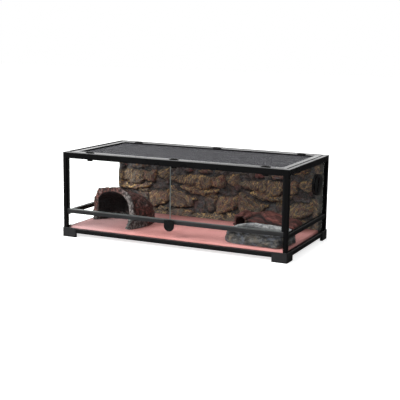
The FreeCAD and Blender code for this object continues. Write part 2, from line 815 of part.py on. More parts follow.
def make_rock_background():
    """Ledges and recesses of a moulded rock wall, through upright sections from left to right."""
    stations, levels = 16, 11
    back = (inner_y - d.rest_play).value
    reach = (inner_x - d.rest_play * 2).value
    foot = rock_front.value
    low = floor_top.value
    shelf = low + d.rock_base_height.value
    top = (top_level - d.rock_top_gap).value
    mean, relief = d.rock_mean_depth.value, d.rock_relief.value
    sections = []
    for i in range(stations + 1):
        x = -reach + 2 * reach * i / stations
        points = [V(x, back, low), V(x, foot, low), V(x, foot, shelf)]
        for k in range(levels + 1):
            bulge = 0.6 * math.sin(2.3 * k + 0.7 * i) + 0.4 * math.sin(1.7 * i - 0.9 * k)
            z = shelf + (top - shelf) * (k + 0.4) / (levels + 0.4)
            points.append(V(x, back - mean - relief * bulge, z))
        points.append(V(x, back, top))
        sections.append(points)
    rock = doc.addObject("Part::Feature", "rock")
    rock.Shape = skinned(sections)
    place(rock, 0, 0, 0)
    keep(rock, "rock_background")


def make_cave_hide():
    """A vaulted shell, open at its mouth on local -Y and closed by a wall at the far end."""
    length, wall = d.hide_length.value, d.hide_wall.value

    def arch(run, inset):
        share = run / length
        near = max(section for section in HIDE_SECTIONS if section[0] <= share)
        far = min(section for section in HIDE_SECTIONS if section[0] >= share)
        blend = (share - near[0]) / (far[0] - near[0]) if far > near else 0
        share_x, share_z = [near[i] + (far[i] - near[i]) * blend for i in (1, 2)]
        width = d.hide_width.value * share_x - inset * 2
        height = d.hide_height.value * share_z - inset
        return [V(width * x, run, height * z) for x, z in HIDE_OUTLINE]

    runs = [section[0] * length for section in HIDE_SECTIONS[:-1]] + [length - wall]
    vault = skinned([arch(run, 0) + arch(run, wall)[::-1] for run in runs])
    end_wall = skinned([arch(length - wall, 0), arch(length, 0)])
    hide = doc.addObject("Part::Feature", "hide")
    hide.Shape = vault.fuse(end_wall).removeSplitter()
    place(hide, d.hide_from_left - inner_x, d.hide_from_front - inner_y, sand_top, d.hide_angle)
    keep(hide, "cave_hide")


def make_water_bowl():
    """A blocky stone dish: its sides lean in to a flat rim, and the basin narrows downward."""
    height = d.bowl_height.value

    def ring(level, inset):
        half_width = d.bowl_width.value / 2 - inset
        half_depth = d.bowl_depth.value / 2 - inset
        return [V(half_width * x, half_depth * y, level) for x, y in BOWL_OUTLINE]

    lean, rim, slope = d.bowl_lean.value, d.bowl_rim.value, d.basin_lean.value
    bowl = doc.addObject("Part::Feature", "bowl")
    bowl.Shape = skinned([ring(0, 0), ring(height, lean), ring(height, lean + rim),
                          ring(height - d.bowl_basin.value, lean + rim + slope)])
    place(bowl, inner_x - d.bowl_from_right, d.bowl_from_front - inner_y, sand_top, d.bowl_angle)
    keep(bowl, "water_bowl")


def make_bark_slab():
    body = new_body("bark_slab")
    crest = [(d.bark_length * x, d.bark_height * z) for x, z in BARK_CREST]
    first, last = crest[0], crest[-1]
    under = [(x, z - d.bark_thickness) for x, z in crest[1:-1]]
    band = new_sketch(body, "XZ_Plane")
    outline(band, [(first[0], 0)] + crest + [(last[0], 0), (last[0] - d.bark_thickness, 0)]
            + under[::-1] + [(first[0] + d.bark_thickness, 0)])
    pad(body, band, d.bark_depth, symmetric=True)
    middle = rock_front - d.bark_clearance - d.bark_depth / 2
    place(body, inner_x - d.bark_from_right, middle, sand_top, d.bark_angle)


def main():
    for name, sign_x, sign_y, turn in CORNERS:
        make_foot(f"foot_{name}", sign_x, sign_y, turn)
        make_post(f"post_{name}", sign_x, sign_y, turn)
        make_top_corner(f"top_corner_{name}", sign_x, sign_y, turn)
    for name, sign_x, sign_y, turn in SIDES:
        make_bottom_rail(f"bottom_rail_{name}", sign_x, sign_y, turn)
        make_top_rail(f"top_rail_{name}", sign_x, sign_y, turn)
        if name != "front":
            make_mid_rail(f"mid_rail_{name}", sign_x, sign_y, turn)
    make_sill("front_sill")
    make_glass()
    make_door("left", -1)
    make_door("right", 1)
    make_lock()
    make_screen_frame()
    make_screen_mesh()
    for place_y, sign_y in (("front", -1), ("back", 1)):
        for place_x, sign_x in (("left", -1), ("middle", 0), ("right", 1)):
            make_latch(f"latch_{place_y}_{place_x}", sign_x, sign_y)
    make_port()
    make_rock_background()
    make_sand()
    make_cave_hide()
    make_water_bowl()
    make_bark_slab()

    doc.recompute()
    for obj in doc.Objects:
        if "Invalid" in obj.State or "Error" in obj.State:
            raise RuntimeError(f"{obj.Label} did not recompute: {obj.State}")
    for piece in pieces:
        if piece.Shape.isNull() or not piece.Shape.isValid():
            raise RuntimeError(f"{piece.Label} has no valid shape")

    os.makedirs("parts", exist_ok=True)
    for piece in pieces:
        piece.Shape.exportStep(f"parts/{piece.Label}.step")


main()
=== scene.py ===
import math

import bpy
import numpy as np
from mathutils import Matrix, Vector, noise


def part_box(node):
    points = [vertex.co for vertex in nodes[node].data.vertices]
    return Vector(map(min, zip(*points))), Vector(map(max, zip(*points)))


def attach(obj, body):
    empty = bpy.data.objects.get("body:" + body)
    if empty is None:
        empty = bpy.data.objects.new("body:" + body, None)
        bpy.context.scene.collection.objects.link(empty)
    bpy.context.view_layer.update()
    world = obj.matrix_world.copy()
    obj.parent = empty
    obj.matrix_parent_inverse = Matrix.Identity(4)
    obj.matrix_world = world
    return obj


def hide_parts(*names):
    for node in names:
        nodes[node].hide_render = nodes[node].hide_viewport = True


# Looks of a glass reptile terrarium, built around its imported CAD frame. The frame is in metres. The outlines
# and reliefs of the furnishing are in millimetres and are scaled by MM.

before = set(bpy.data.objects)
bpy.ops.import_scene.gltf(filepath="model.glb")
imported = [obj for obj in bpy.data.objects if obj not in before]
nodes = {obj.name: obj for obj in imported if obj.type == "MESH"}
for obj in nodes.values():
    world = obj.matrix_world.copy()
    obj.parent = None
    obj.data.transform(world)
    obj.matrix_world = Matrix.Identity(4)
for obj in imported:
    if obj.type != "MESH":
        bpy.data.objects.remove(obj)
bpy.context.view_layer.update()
MM = 0.001


# Noise and meshes

def fractal(points, scale, octaves, offset, stretch=(1.0, 1.0, 1.0)):
    """Fractal noise at each point of an array, about -1 to 1."""
    places = np.asarray(points) * (np.array(stretch) * scale) + np.array(offset)
    values = [noise.fractal(Vector(place), 0.9, 2.0, octaves) for place in places.reshape(-1, 3)]
    return np.reshape(values, places.shape[:-1])


def ridged(points, scale, octaves, offset, stretch=(1.0, 1.0, 1.0)):
    """Ridged noise at each point of an array, about 0 to 1, with sharp crests."""
    places = np.asarray(points) * (np.array(stretch) * scale) + np.array(offset)
    values = [noise.ridged_multi_fractal(Vector(place), 0.9, 2.1, octaves, 1.0, 2.0)
              for place in places.reshape(-1, 3)]
    return np.clip(np.reshape(values, places.shape[:-1]) / 2.2, 0.0, 1.2)


def step(low, high, values):
    """Smooth step, 0 at low and 1 at high. It falls where high is the smaller one."""
    share = np.clip((np.asarray(values) - low) / (high - low), 0.0, 1.0)
    return share * share * (3.0 - 2.0 * share)


def new_object(name, points, faces, smooth=True):
    mesh = bpy.data.meshes.new(name)
    mesh.from_pydata([tuple(point) for point in points], [], faces)
    if smooth:
        mesh.shade_smooth()
    piece = bpy.data.objects.new(name, mesh)
    bpy.context.scene.collection.objects.link(piece)
    return piece


def quads(index):
    """Faces between the neighbours in a grid of point numbers."""
    corners = [index[:-1, :-1], index[:-1, 1:], index[1:, 1:], index[1:, :-1]]
    return np.stack(corners, axis=-1).reshape(-1, 4).tolist()


def grid_faces(rows, columns, closed=False):
    """Faces of a grid of points, whose rows may close on themselves."""
    index = np.arange(rows * columns).reshape(rows, columns)
    if closed:
        index = np.concatenate([index, index[:, :1]], axis=1)
    return quads(index)


def grid_normals(points, closed=False):
    """Unit normals at the points of a grid."""
    if closed:
        padded = np.concatenate([points[:, -1:], points, points[:, :1]], axis=1)
        along = (padded[:, 2:] - padded[:, :-2]) / 2
    else:
        along = np.gradient(points, axis=1)
    normals = np.cross(along, np.gradient(points, axis=0))
    length = np.linalg.norm(normals, axis=-1, keepdims=True)
    return normals / np.maximum(length, 1e-12)


def set_values(piece, name, values):
    """Store a number per point, which the piece's material reads."""
    data = piece.data.attributes.new(name, "FLOAT", "POINT").data
    data.foreach_set("value", np.asarray(values, np.float32).ravel())


def resample(points, count):
    """Evenly spaced points along an open line, smoothed a little at its corners."""
    points = np.asarray(points, float)
    for _ in range(2):
        start, end = points[:-1], points[1:]
        inner = np.stack([start * 0.75 + end * 0.25, start * 0.25 + end * 0.75], 1)
        points = np.concatenate([points[:1], inner.reshape(-1, points.shape[1])[1:-1], points[-1:]])
    run = np.concatenate([[0.0], np.cumsum(np.linalg.norm(np.diff(points, axis=0), axis=1))])
    at = np.linspace(0.0, run[-1], count)
    return np.stack([np.interp(at, run, points[:, k]) for k in range(points.shape[1])], axis=1)


def placed(grid, angle, spot, level):
    """Points of a grid in millimetres, turned about Z and set at a spot on a level of the frame."""
    matrix = np.array(Matrix.Rotation(math.radians(angle), 3, "Z"))
    place = (spot[0] * MM, spot[1] * MM, level)
    return (grid.reshape(-1, 3) * MM) @ matrix.T + np.array(place)


# Materials

class ShaderTree:
    """A tree of shader nodes, emptied and built node by node."""

    def __init__(self, tree):
        self.tree = tree
        tree.nodes.clear()

    def add(self, kind, sockets=None, **settings):
        node = self.tree.nodes.new("ShaderNode" + kind)
        for key, value in settings.items():
            setattr(node, key, value)
        for key, value in (sockets or {}).items():
            self.feed(node.inputs[key], value)
        return node

    def feed(self, socket, value):
        if isinstance(value, bpy.types.NodeSocket):
            self.tree.links.new(value, socket)
        elif socket.type == "RGBA" and len(value) == 3:
            socket.default_value = (*value, 1.0)
        else:
            socket.default_value = value

    def times(self, first, second):
        return self.add("Math", {0: first, 1: second}, operation="MULTIPLY").outputs[0]

    def plus(self, first, second):
        return self.add("Math", {0: first, 1: second}, operation="ADD").outputs[0]


class Paint(ShaderTree):
    """A procedural material."""

    def __init__(self, name):
        self.material = bpy.data.materials.new(name)
        self.material.use_nodes = True
        super().__init__(self.material.node_tree)
        self.output = self.add("OutputMaterial")
        self.place = self.add("TexCoord").outputs["Object"]

    def stretched(self, stretch):
        return self.add("Mapping", {"Vector": self.place, "Scale": stretch}).outputs[0]

    def noise(self, scale, detail, rough, stretch=(1.0, 1.0, 1.0), distortion=0.0):
        sockets = {"Vector": self.stretched(stretch), "Scale": scale, "Detail": detail, "Roughness": rough,
                   "Distortion": distortion}
        return self.add("TexNoise", sockets).outputs[0]

    def cells(self, scale, stretch):
        sockets = {"Vector": self.stretched(stretch), "Scale": scale}
        return self.add("TexVoronoi", sockets).outputs["Distance"]

    def veins(self, scale, width, detail, stretch=(1.0, 1.0, 1.0), distortion=0.0):
        """Thin winding lines, 1 on the line and 0 away from it."""
        cloud = self.noise(scale, detail, 0.5, stretch, distortion)
        off = self.add("Math", {0: self.plus(cloud, -0.5)}, operation="ABSOLUTE").outputs[0]
        return self.range(off, 0.0, width, 1.0, 0.0)

    def value(self, name):
        """A number that the mesh carries per point."""
        return self.add("Attribute", attribute_name=name).outputs["Fac"]

    def range(self, value, low, high, to_low=0.0, to_high=1.0):
        sockets = {"Value": value, "From Min": low, "From Max": high, "To Min": to_low, "To Max": to_high}
        return self.add("MapRange", sockets, interpolation_type="SMOOTHSTEP").outputs[0]

    def mix(self, share, first, second):
        return self.add("Mix", {0: share, 6: first, 7: second}, data_type="RGBA").outputs[2]

    def bump(self, height, distance, strength, normal=None):
        node = self.add("Bump", {"Height": height, "Distance": distance, "Strength": strength})
        if normal:
            self.feed(node.inputs["Normal"], normal)
        return node.outputs[0]

    def bevel(self, radius):
        return self.add("Bevel", {"Radius": radius}, samples=6).outputs[0]

    def show(self, shader):
        """Make a shader the material's surface."""
        self.feed(self.output.inputs["Surface"], shader.outputs[0])
        return self.material

    def surface(self, **sockets):
        """A principled surface. Sockets are named with underscores for spaces."""
        named = {key.replace("_", " "): value for key, value in sockets.items()}
        return self.show(self.add("BsdfPrincipled", named))


def black_profile(name, tone, rough, edge, specular=0.1):
    """Satin black extrusion or moulding with softened edges and faint wear in its sheen."""
    paint = Paint(name)
    cloud = paint.noise(9.0, 5.0, 0.6)
    grain = paint.noise(420.0, 3.0, 0.6)
    colour = paint.mix(cloud, (tone * 0.8, tone * 0.8, tone * 0.84), (tone * 1.25, tone * 1.25, tone * 1.3))
    sheen = paint.range(cloud, 0.25, 0.75, rough - 0.05, rough + 0.07)
    normal = paint.bump(grain, 0.00008, 0.5, paint.bevel(edge))
    return paint.surface(Base_Color=colour, Roughness=sheen, Normal=normal, IOR=1.5,
                         Specular_IOR_Level=specular)


def clear_glass(name):
    """Float glass: clear from the front, with a reflection that rises towards grazing sight."""
    paint = Paint(name)
    smear = paint.noise(5.0, 3.0, 0.5)
    clear = paint.add("BsdfTransparent", {"Color": (0.99, 0.996, 0.992)}).outputs[0]
    rough = paint.range(smear, 0.3, 0.7, 0.01, 0.04)
    shine = paint.add("BsdfGlossy", {"Color": (0.9, 0.93, 0.92), "Roughness": rough}).outputs[0]
    facing = paint.add("LayerWeight", {"Blend": 0.5}).outputs["Facing"]
    steep = paint.add("Math", {0: facing, 1: 4.0}, operation="POWER").outputs[0]
    share = paint.range(steep, 0.0, 1.0, 0.004, 0.25)
    return paint.show(paint.add("MixShader", {0: share, 1: clear, 2: shine}))


def glass_edge(name, dark, light):
    """Cut edge of a pane: bright where it is free, nearly black as painted shade where it sits in a groove."""
    paint = Paint(name)
    streak = paint.noise(60.0, 3.0, 0.6, (1.0, 1.0, 0.15))
    return paint.surface(Base_Color=paint.mix(streak, dark, light), Roughness=0.25, Specular_IOR_Level=0.2)


def rock_paint(name):
    """Moulded rock: ochre brushed on the wrinkles of its slabs, grey with nearly black cracks in its gaps,
    nearly black painted shade in the creases round and under the slabs, and a painted highlight on the ochre
    of their top edges.
    """
    paint = Paint(name)
    ochre, red, dark = (paint.value(key) for key in ("ochre", "red", "dark"))
    thread = paint.veins(95.0, 0.05, 3.0, (1.0, 1.0, 0.7), 0.8)
    crack = paint.veins(48.0, 0.07, 4.0, (0.8, 1.0, 1.3), 1.2)
    blotch = paint.noise(26.0, 4.0, 0.6)
    speck = paint.noise(260.0, 3.0, 0.7)
    rusty = paint.range(paint.noise(60.0, 4.0, 0.6), 0.44, 0.58)
    paint.place = paint.add("Attribute", attribute_name="flow").outputs["Vector"]
    wrinkle = paint.veins(1.0, 0.05, 1.6, distortion=0.3)
    furrow = paint.range(paint.noise(1.0, 1.6, 0.5, distortion=0.3), 0.6, 0.7)
    stone = paint.mix(paint.range(blotch, 0.4, 0.66), (0.03, 0.032, 0.036), (0.118, 0.12, 0.125))
    cracked = paint.mix(paint.times(crack, 0.85), stone, (0.01, 0.01, 0.011))
    gritty = paint.mix(paint.range(speck, 0.5, 0.72, 0.0, 0.6), cracked, (0.19, 0.185, 0.17))
    earth = paint.mix(paint.range(speck, 0.35, 0.65), (0.056, 0.047, 0.04), (0.17, 0.138, 0.108))
    # The ochre value carries the slabs' ochre paint and a painted highlight along their top edges.
    body = paint.mix(paint.range(ochre, 0.1, 0.6), gritty, earth)
    furrowed = paint.mix(paint.times(furrow, 0.8), body, (0.022, 0.019, 0.017))
    line = paint.plus(paint.times(wrinkle, 0.85), paint.times(thread, 0.12))
    crest = paint.times(line, paint.range(ochre, 0.1, 0.95, 0.08, 1.0))
    brushed = paint.mix(crest, furrowed, (0.74, 0.47, 0.19))
    coloured = paint.mix(paint.times(paint.times(red, rusty), 0.8), brushed, (0.27, 0.066, 0.055))
    shaded = paint.mix(paint.times(dark, 0.9), coloured, (0.012, 0.012, 0.013))
    foam = paint.mix(paint.range(speck, 0.3, 0.7), (0.045, 0.043, 0.039), (0.11, 0.105, 0.095))
    colour = paint.mix(paint.value("foam"), shaded, foam)
    folds = paint.plus(paint.times(wrinkle, 0.7), paint.times(furrow, -0.7))
    height = paint.plus(folds, paint.times(speck, 0.4))
    return paint.surface(Base_Color=colour, Roughness=0.85, Normal=paint.bump(height, 0.005, 0.9))


def sand_paint(name):
    """Pink sand: paler at the left as a painted reflection, darker by the wall as painted shade, and dark
    along the left glass.
    """
    paint = Paint(name)
    grain = paint.noise(1400.0, 2.0, 0.7)
    drift = paint.noise(7.0, 4.0, 0.55)
    pebble = paint.noise(420.0, 2.0, 0.6)
    colour = paint.mix(paint.range(drift, 0.3, 0.7), (0.53, 0.215, 0.2), (0.66, 0.29, 0.275))
    # Painted reflection: towards the left the sand is paled, as white reflected in the glass would make it.
    reflection_paled = paint.mix(paint.times(paint.value("pale"), 0.6), colour, (0.6, 0.4, 0.41))
    speckled = paint.mix(paint.range(grain, 0.55, 0.8, 0.0, 0.4), reflection_paled, (0.82, 0.48, 0.45))
    spotted = paint.mix(paint.range(pebble, 0.6, 0.75, 0.0, 0.35), speckled, (0.36, 0.12, 0.105))
    # Painted shade: the sand darkens towards the wall.
    wall_shade = paint.mix(paint.times(paint.value("wall_shade"), 0.7), spotted, (0.27, 0.085, 0.075))
    colour = paint.mix(paint.times(paint.value("edge"), 0.85), wall_shade, (0.05, 0.035, 0.033))
    return paint.surface(Base_Color=colour, Roughness=0.95, Normal=paint.bump(grain, 0.0008, 0.7))


def hide_paint(name):
    """Cast bark: red-brown knobs, grey on the lip and feet, black inside as painted shade."""
    paint = Paint(name)
    grey, inside = paint.value("grey"), paint.value("inside")
    knobs = paint.cells(105.0, (1.0, 1.0, 0.8))
    vein = paint.veins(70.0, 0.06, 4.0, (1.0, 1.0, 1.0), 0.6)
    blotch = paint.noise(34.0, 4.0, 0.62)
    speck = paint.noise(240.0, 3.0, 0.7)
    clay = paint.mix(paint.range(speck, 0.32, 0.68), (0.07, 0.026, 0.021), (0.235, 0.086, 0.07))
    ash = paint.mix(paint.range(speck, 0.32, 0.68), (0.1, 0.102, 0.102), (0.31, 0.31, 0.3))
    body = paint.mix(paint.plus(grey, paint.range(blotch, 0.56, 0.7, 0.0, 0.4)), clay, ash)
    pitted = paint.mix(paint.range(knobs, 0.34, 0.7, 0.0, 0.85), body, (0.016, 0.01, 0.009))
    cracked = paint.mix(paint.times(vein, 0.55), pitted, (0.014, 0.009, 0.008))
    # Painted shade: the inside of the cave is near black.
    colour = paint.mix(inside, cracked, (0.009, 0.009, 0.0095))
    height = paint.plus(paint.times(knobs, -1.2), paint.times(speck, 0.4))
    return paint.surface(Base_Color=colour, Roughness=0.9, Normal=paint.bump(height, 0.0035, 0.9))


def bowl_paint(name):
    """Cast stone: pale blue-grey on top, tan and dark layers down its sides."""
    paint = Paint(name)
    rim = paint.value("rim")
    layer = paint.noise(70.0, 5.0, 0.66, (0.45, 0.45, 1.5), distortion=0.6)
    pit = paint.veins(60.0, 0.05, 4.0, (0.7, 0.7, 1.1), 0.5)
    tint = paint.noise(34.0, 4.0, 0.6)
    speck = paint.noise(330.0, 3.0, 0.7)
    side = paint.mix(paint.range(layer, 0.38, 0.62), (0.028, 0.027, 0.028), (0.112, 0.103, 0.094))
    tan = paint.mix(paint.range(tint, 0.52, 0.66, 0.0, 0.6), side, (0.15, 0.11, 0.07))
    top = paint.mix(paint.range(layer, 0.36, 0.64), (0.27, 0.272, 0.282), (0.43, 0.428, 0.425))
    stone = paint.mix(rim, tan, top)
    blue = paint.mix(paint.range(tint, 0.48, 0.36, 0.0, 0.5), stone, (0.11, 0.125, 0.165))
    speckled = paint.mix(paint.range(speck, 0.58, 0.75, 0.0, 0.6), blue, (0.36, 0.35, 0.34))
    pitting = paint.times(pit, paint.range(rim, 0.0, 1.0, 0.75, 0.45))
    pitted = paint.mix(pitting, speckled, (0.028, 0.028, 0.03))
    colour = paint.mix(paint.value("basin"), pitted, (0.07, 0.07, 0.072))
    height = paint.plus(paint.plus(layer, paint.times(speck, 0.35)), paint.times(pit, -0.6))
    return paint.surface(Base_Color=colour, Roughness=0.8, Normal=paint.bump(height, 0.003, 0.9))


def bark_paint(name):
    """Red-brown bark with grain along its length, with painted shade in its crease and on its under side."""
    paint = Paint(name)
    fold = paint.value("fold")
    fibre = paint.noise(120.0, 5.0, 0.64, (0.25, 1.0, 0.9), distortion=0.4)
    patch = paint.noise(26.0, 3.0, 0.6)
    wood = paint.mix(paint.range(fibre, 0.34, 0.64), (0.034, 0.011, 0.009), (0.18, 0.056, 0.046))
    faded = paint.mix(paint.range(patch, 0.5, 0.7, 0.0, 0.5), wood, (0.13, 0.058, 0.05))
    # Painted shade in the crease, carried by the fold value with the grain's hollows and the darker front
    # below it.
    creased = paint.mix(fold, faded, (0.012, 0.006, 0.006))
    shaded = paint.mix(paint.value("under"), creased, (0.03, 0.013, 0.011))
    return paint.surface(Base_Color=shaded, Roughness=0.85, Normal=paint.bump(fibre, 0.004, 0.9))


def wire_paint(name):
    """Dark coated wire, a little worn."""
    paint = Paint(name)
    wear = paint.noise(30.0, 3.0, 0.6)
    colour = paint.mix(wear, (0.02, 0.02, 0.025), (0.045, 0.045, 0.054))
    return paint.surface(Base_Color=colour, Roughness=0.42, Metallic=0.35)


def steel_paint(name):
    """Drawn steel of the hinge pins."""
    paint = Paint(name)
    drawn = paint.noise(300.0, 3.0, 0.6, (1.0, 1.0, 0.05))
    rough = paint.range(drawn, 0.3, 0.7, 0.25, 0.42)
    return paint.surface(Base_Color=(0.55, 0.55, 0.56), Metallic=1.0, Roughness=rough)


# Rock background: one moulded tile, repeated along the wall

# Length of the tile.
TILE = 308.0
# How far the ground between the slabs stands out, and the least and the most of the whole relief.
ROCK_GROUND, ROCK_LEAST, ROCK_MOST = 14.0, 5.0, 43.5
# Before rubble is added the wall stands out at least this far, and its foot along the sand this much more.
WALL_STAND, FOOT_MORE = 12.0, 31.0
# Along the top edge the relief is drawn back towards this.
TOP_STAND = 8.0
# How far the cut faces at both ends stand out, and their waves.
CUT_STAND, CUT_WAVE = 39.5, 3.5
# Slabs spread this far past their outlines.
SLAB_SPREAD = 3.5
# The cut edge lies this far behind the front. It and the ends of the front show this share of bare foam.
CUT_STEP, CUT_FOAM = 0.5, 0.25
# The back of each end laps the slit beside the posts by this much.
END_LAP = 0.6

# Slabs of the tile: outline in millimetres, clockwise as seen from the doors, then how far it stands out,
# how much ochre and red is brushed on, and the run of its wrinkles in degrees.
SLABS = [
    ([(-212, 192), (-165, 199), (-116, 205), (-79, 210), (-38, 206), (-16, 202), (-16, 175), (-30, 160),
      (-60, 153), (-82, 155), (-101, 165), (-131, 167), (-151, 170), (-176, 175), (-199, 182), (-212, 185)],
      19, 0.9, 0.15, 78),
    ([(-20, 205), (2, 204), (20, 216), (34, 212), (37, 189), (33, 174), (21, 164), (6, 168), (-18, 172)],
      21, 0.85, 0.4, 84),
    ([(-159, 156), (-142, 162), (-116, 161), (-95, 156), (-74, 148), (-45, 149), (-16, 155), (17, 158),
      (18, 154), (-1, 144), (-30, 137), (-59, 131), (-82, 133), (-104, 132), (-123, 139), (-142, 147)],
      23, 1.0, 0.3, -14),
    ([(-48, 127), (-22, 136), (0, 133), (4, 127), (-15, 121), (-37, 124)], 14, 0.8, 0.1, -10),
    ([(-207, 151), (-198, 154), (-176, 136), (-145, 128), (-115, 117), (-84, 110), (-99, 102), (-107, 92),
      (-99, 81), (-137, 74), (-183, 70), (-204, 75), (-209, 93)], 17, 0.78, 0.2, -30),
    ([(-50, 118), (-41, 124), (-15, 117), (1, 118), (2, 110), (-2, 85), (-12, 66), (-29, 65), (-39, 81),
      (-44, 101)], 13, 0.45, 0.22, 62),
    ([(7, 118), (22, 127), (43, 136), (75, 141), (97, 138), (101, 115), (97, 98), (80, 84), (52, 73),
      (23, 65), (5, 64), (4, 85), (7, 106)], 19, 0.92, 0.3, 58),
    ([(43, 209), (56, 219), (77, 218), (92, 228), (96, 205), (94, 185), (84, 179), (67, 184), (51, 191),
      (44, 197)], 17, 0.85, 0.12, 24),
    ([(84, 177), (92, 182), (98, 176), (100, 168), (94, 163), (86, 167)], 15, 0.3, 0.3, 0),
    ([(21, 163), (43, 156), (68, 152), (90, 145), (75, 143), (43, 139), (25, 142), (17, 152)],
      8, 0.2, 0.15, -12),
    ([(-94, 99), (-70, 104), (-52, 98), (-46, 81), (-47, 62), (-62, 54), (-90, 53), (-95, 69)],
      6, 0.15, 0.25, 40),
    ([(-146, 225), (-135, 233), (-117, 234), (-108, 228), (-115, 221), (-135, 220)], 15, 0.2, 0.75, 0),
    ([(-76, 228), (-54, 233), (-28, 232), (-22, 225), (-46, 221), (-72, 222)], 9, 0.4, 0.35, 0),
    ([(-205, 250), (-150, 256), (-95, 254), (-80, 268), (-92, 289), (-160, 292), (-210, 284)],
      16, 0.75, 0.2, 70),
    ([(-66, 246), (-10, 250), (40, 247), (78, 256), (82, 282), (20, 291), (-50, 288), (-70, 268)],
      18, 0.85, 0.25, -18),
    ([(-98, 48), (-62, 53), (-28, 54), (20, 59), (34, 56), (46, 46), (30, 42), (-60, 42), (-98, 42)],
      26, 0.95, 0.1, 4),
    ([(44, 64), (70, 64), (96, 60), (98, 44), (70, 42), (52, 46)], 24, 0.9, 0.1, -12),
    ([(-210, 60), (-170, 63), (-125, 60), (-104, 54), (-110, 42), (-200, 42)], 20, 0.6, 0.3, 6),
]


def slab_depth(x, z, outline):
    """Distance to a slab's outline, positive inside, and how much the nearest side of it faces up."""
    inside = np.zeros(x.shape, bool)
    nearest = np.full(x.shape, 1e6)
    upward = np.zeros(x.shape)
    for (x0, z0), (x1, z1) in zip(outline, outline[1:] + outline[:1]):
        dx, dz = x1 - x0, z1 - z0
        along = np.clip(((x - x0) * dx + (z - z0) * dz) / (dx * dx + dz * dz), 0.0, 1.0)
        away = np.hypot(x - x0 - along * dx, z - z0 - along * dz)
        upward = np.where(away < nearest, dx / math.hypot(dx, dz), upward)
        nearest = np.minimum(nearest, away)
        if dz:
            inside ^= ((z0 > z) != (z1 > z)) & (x < x0 + (z - z0) * dx / dz)
    return np.where(inside, nearest, -nearest), upward


def rock_fields(x, z):
    """How far the rock stands out at points of the wall, and the values and flow that its paint reads."""
    flat = np.stack([x, np.zeros_like(x), z], axis=-1)
    bend_x = 5.0 * fractal(flat, 0.035, 4, (3.1, 0.0, 8.4))
    bend_z = 4.0 * fractal(flat, 0.045, 4, (7.7, 2.0, 1.3))
    chip_x = 3.5 * fractal(flat, 0.11, 3, (1.1, 4.0, 6.4))
    chip_z = 2.5 * fractal(flat, 0.11, 3, (9.7, 3.0, 2.3))
    swell = fractal(flat, 0.03, 4, (5.3, 1.0, 2.2))
    rubble = ridged(flat, 0.06, 4, (1.7, 0.0, 5.2))
    stand = ROCK_GROUND + 4.0 * swell
    ochre = np.clip(0.12 + 0.35 * swell, 0.0, 0.3)
    red = np.full(x.shape, 0.08)
    dark = np.zeros(x.shape)
    angle = np.full(x.shape, 20.0)
    number = np.zeros(x.shape)
    for count, (outline, rise, gold, rust, run) in enumerate(SLABS, 1):
        middle = sum(corner[0] for corner in outline) / len(outline)
        near_x = (x + bend_x + chip_x - middle + TILE / 2) % TILE - TILE / 2 + middle
        depth, upward = slab_depth(near_x, z + bend_z + chip_z, outline)
        depth += SLAB_SPREAD
        inside = depth > 0
        # Edges are softer above and at the sides than below.
        soft = np.where(upward > 0.3, 8.0, np.where(upward > -0.35, 11.0, 4.0))
        full = 1.0 - np.exp(-np.maximum(depth, 0.0) / soft)
        level = ROCK_GROUND + 0.85 * rise * full * (0.92 + 0.25 * swell)
        stand = np.where(inside, np.maximum(stand, level), stand)
        # Painted highlight: the ochre is brightened along the sides of a slab that face up.
        rim = np.exp(-((depth - 2.0) / 5.0) ** 2) * step(0.2, 0.8, upward)
        # Painted shade: a nearly black crease round each slab, most under its sides that face down.
        under = step(-0.05, -0.75, upward)
        width = np.where(inside, 2.5, 6.0)
        crease = np.exp(-(depth / width) ** 2) * (0.15 + 0.85 * under)
        dark = np.where(inside, crease, np.maximum(dark, crease))
        ochre = np.where(inside, gold * (0.62 + 0.6 * rim), ochre)
        red = np.where(inside, rust, red)
        angle = np.where(inside, run, angle)
        number = np.where(inside, count, number)
    foot = step(50.0, 43.0, z + bend_z * 0.6)
    stand = np.maximum(stand, WALL_STAND + FOOT_MORE * foot)
    # The wrinkles in the paint follow the run of each slab, and differ from slab to slab.
    turn = np.radians(angle)
    along = x * np.cos(turn) + z * np.sin(turn)
    across = z * np.cos(turn) - x * np.sin(turn)
    flow = np.stack([along * 0.036 + bend_x * 0.05, across * 0.11 + bend_z * 0.2, number * 3.7], axis=-1)
    stand = stand + 4.0 * (rubble - 0.5)
    values = {"ochre": np.clip(ochre, 0, 1), "red": red, "dark": np.clip(dark * (1.0 - foot), 0, 1)}
    return np.clip(stand, ROCK_LEAST, ROCK_MOST), values, flow


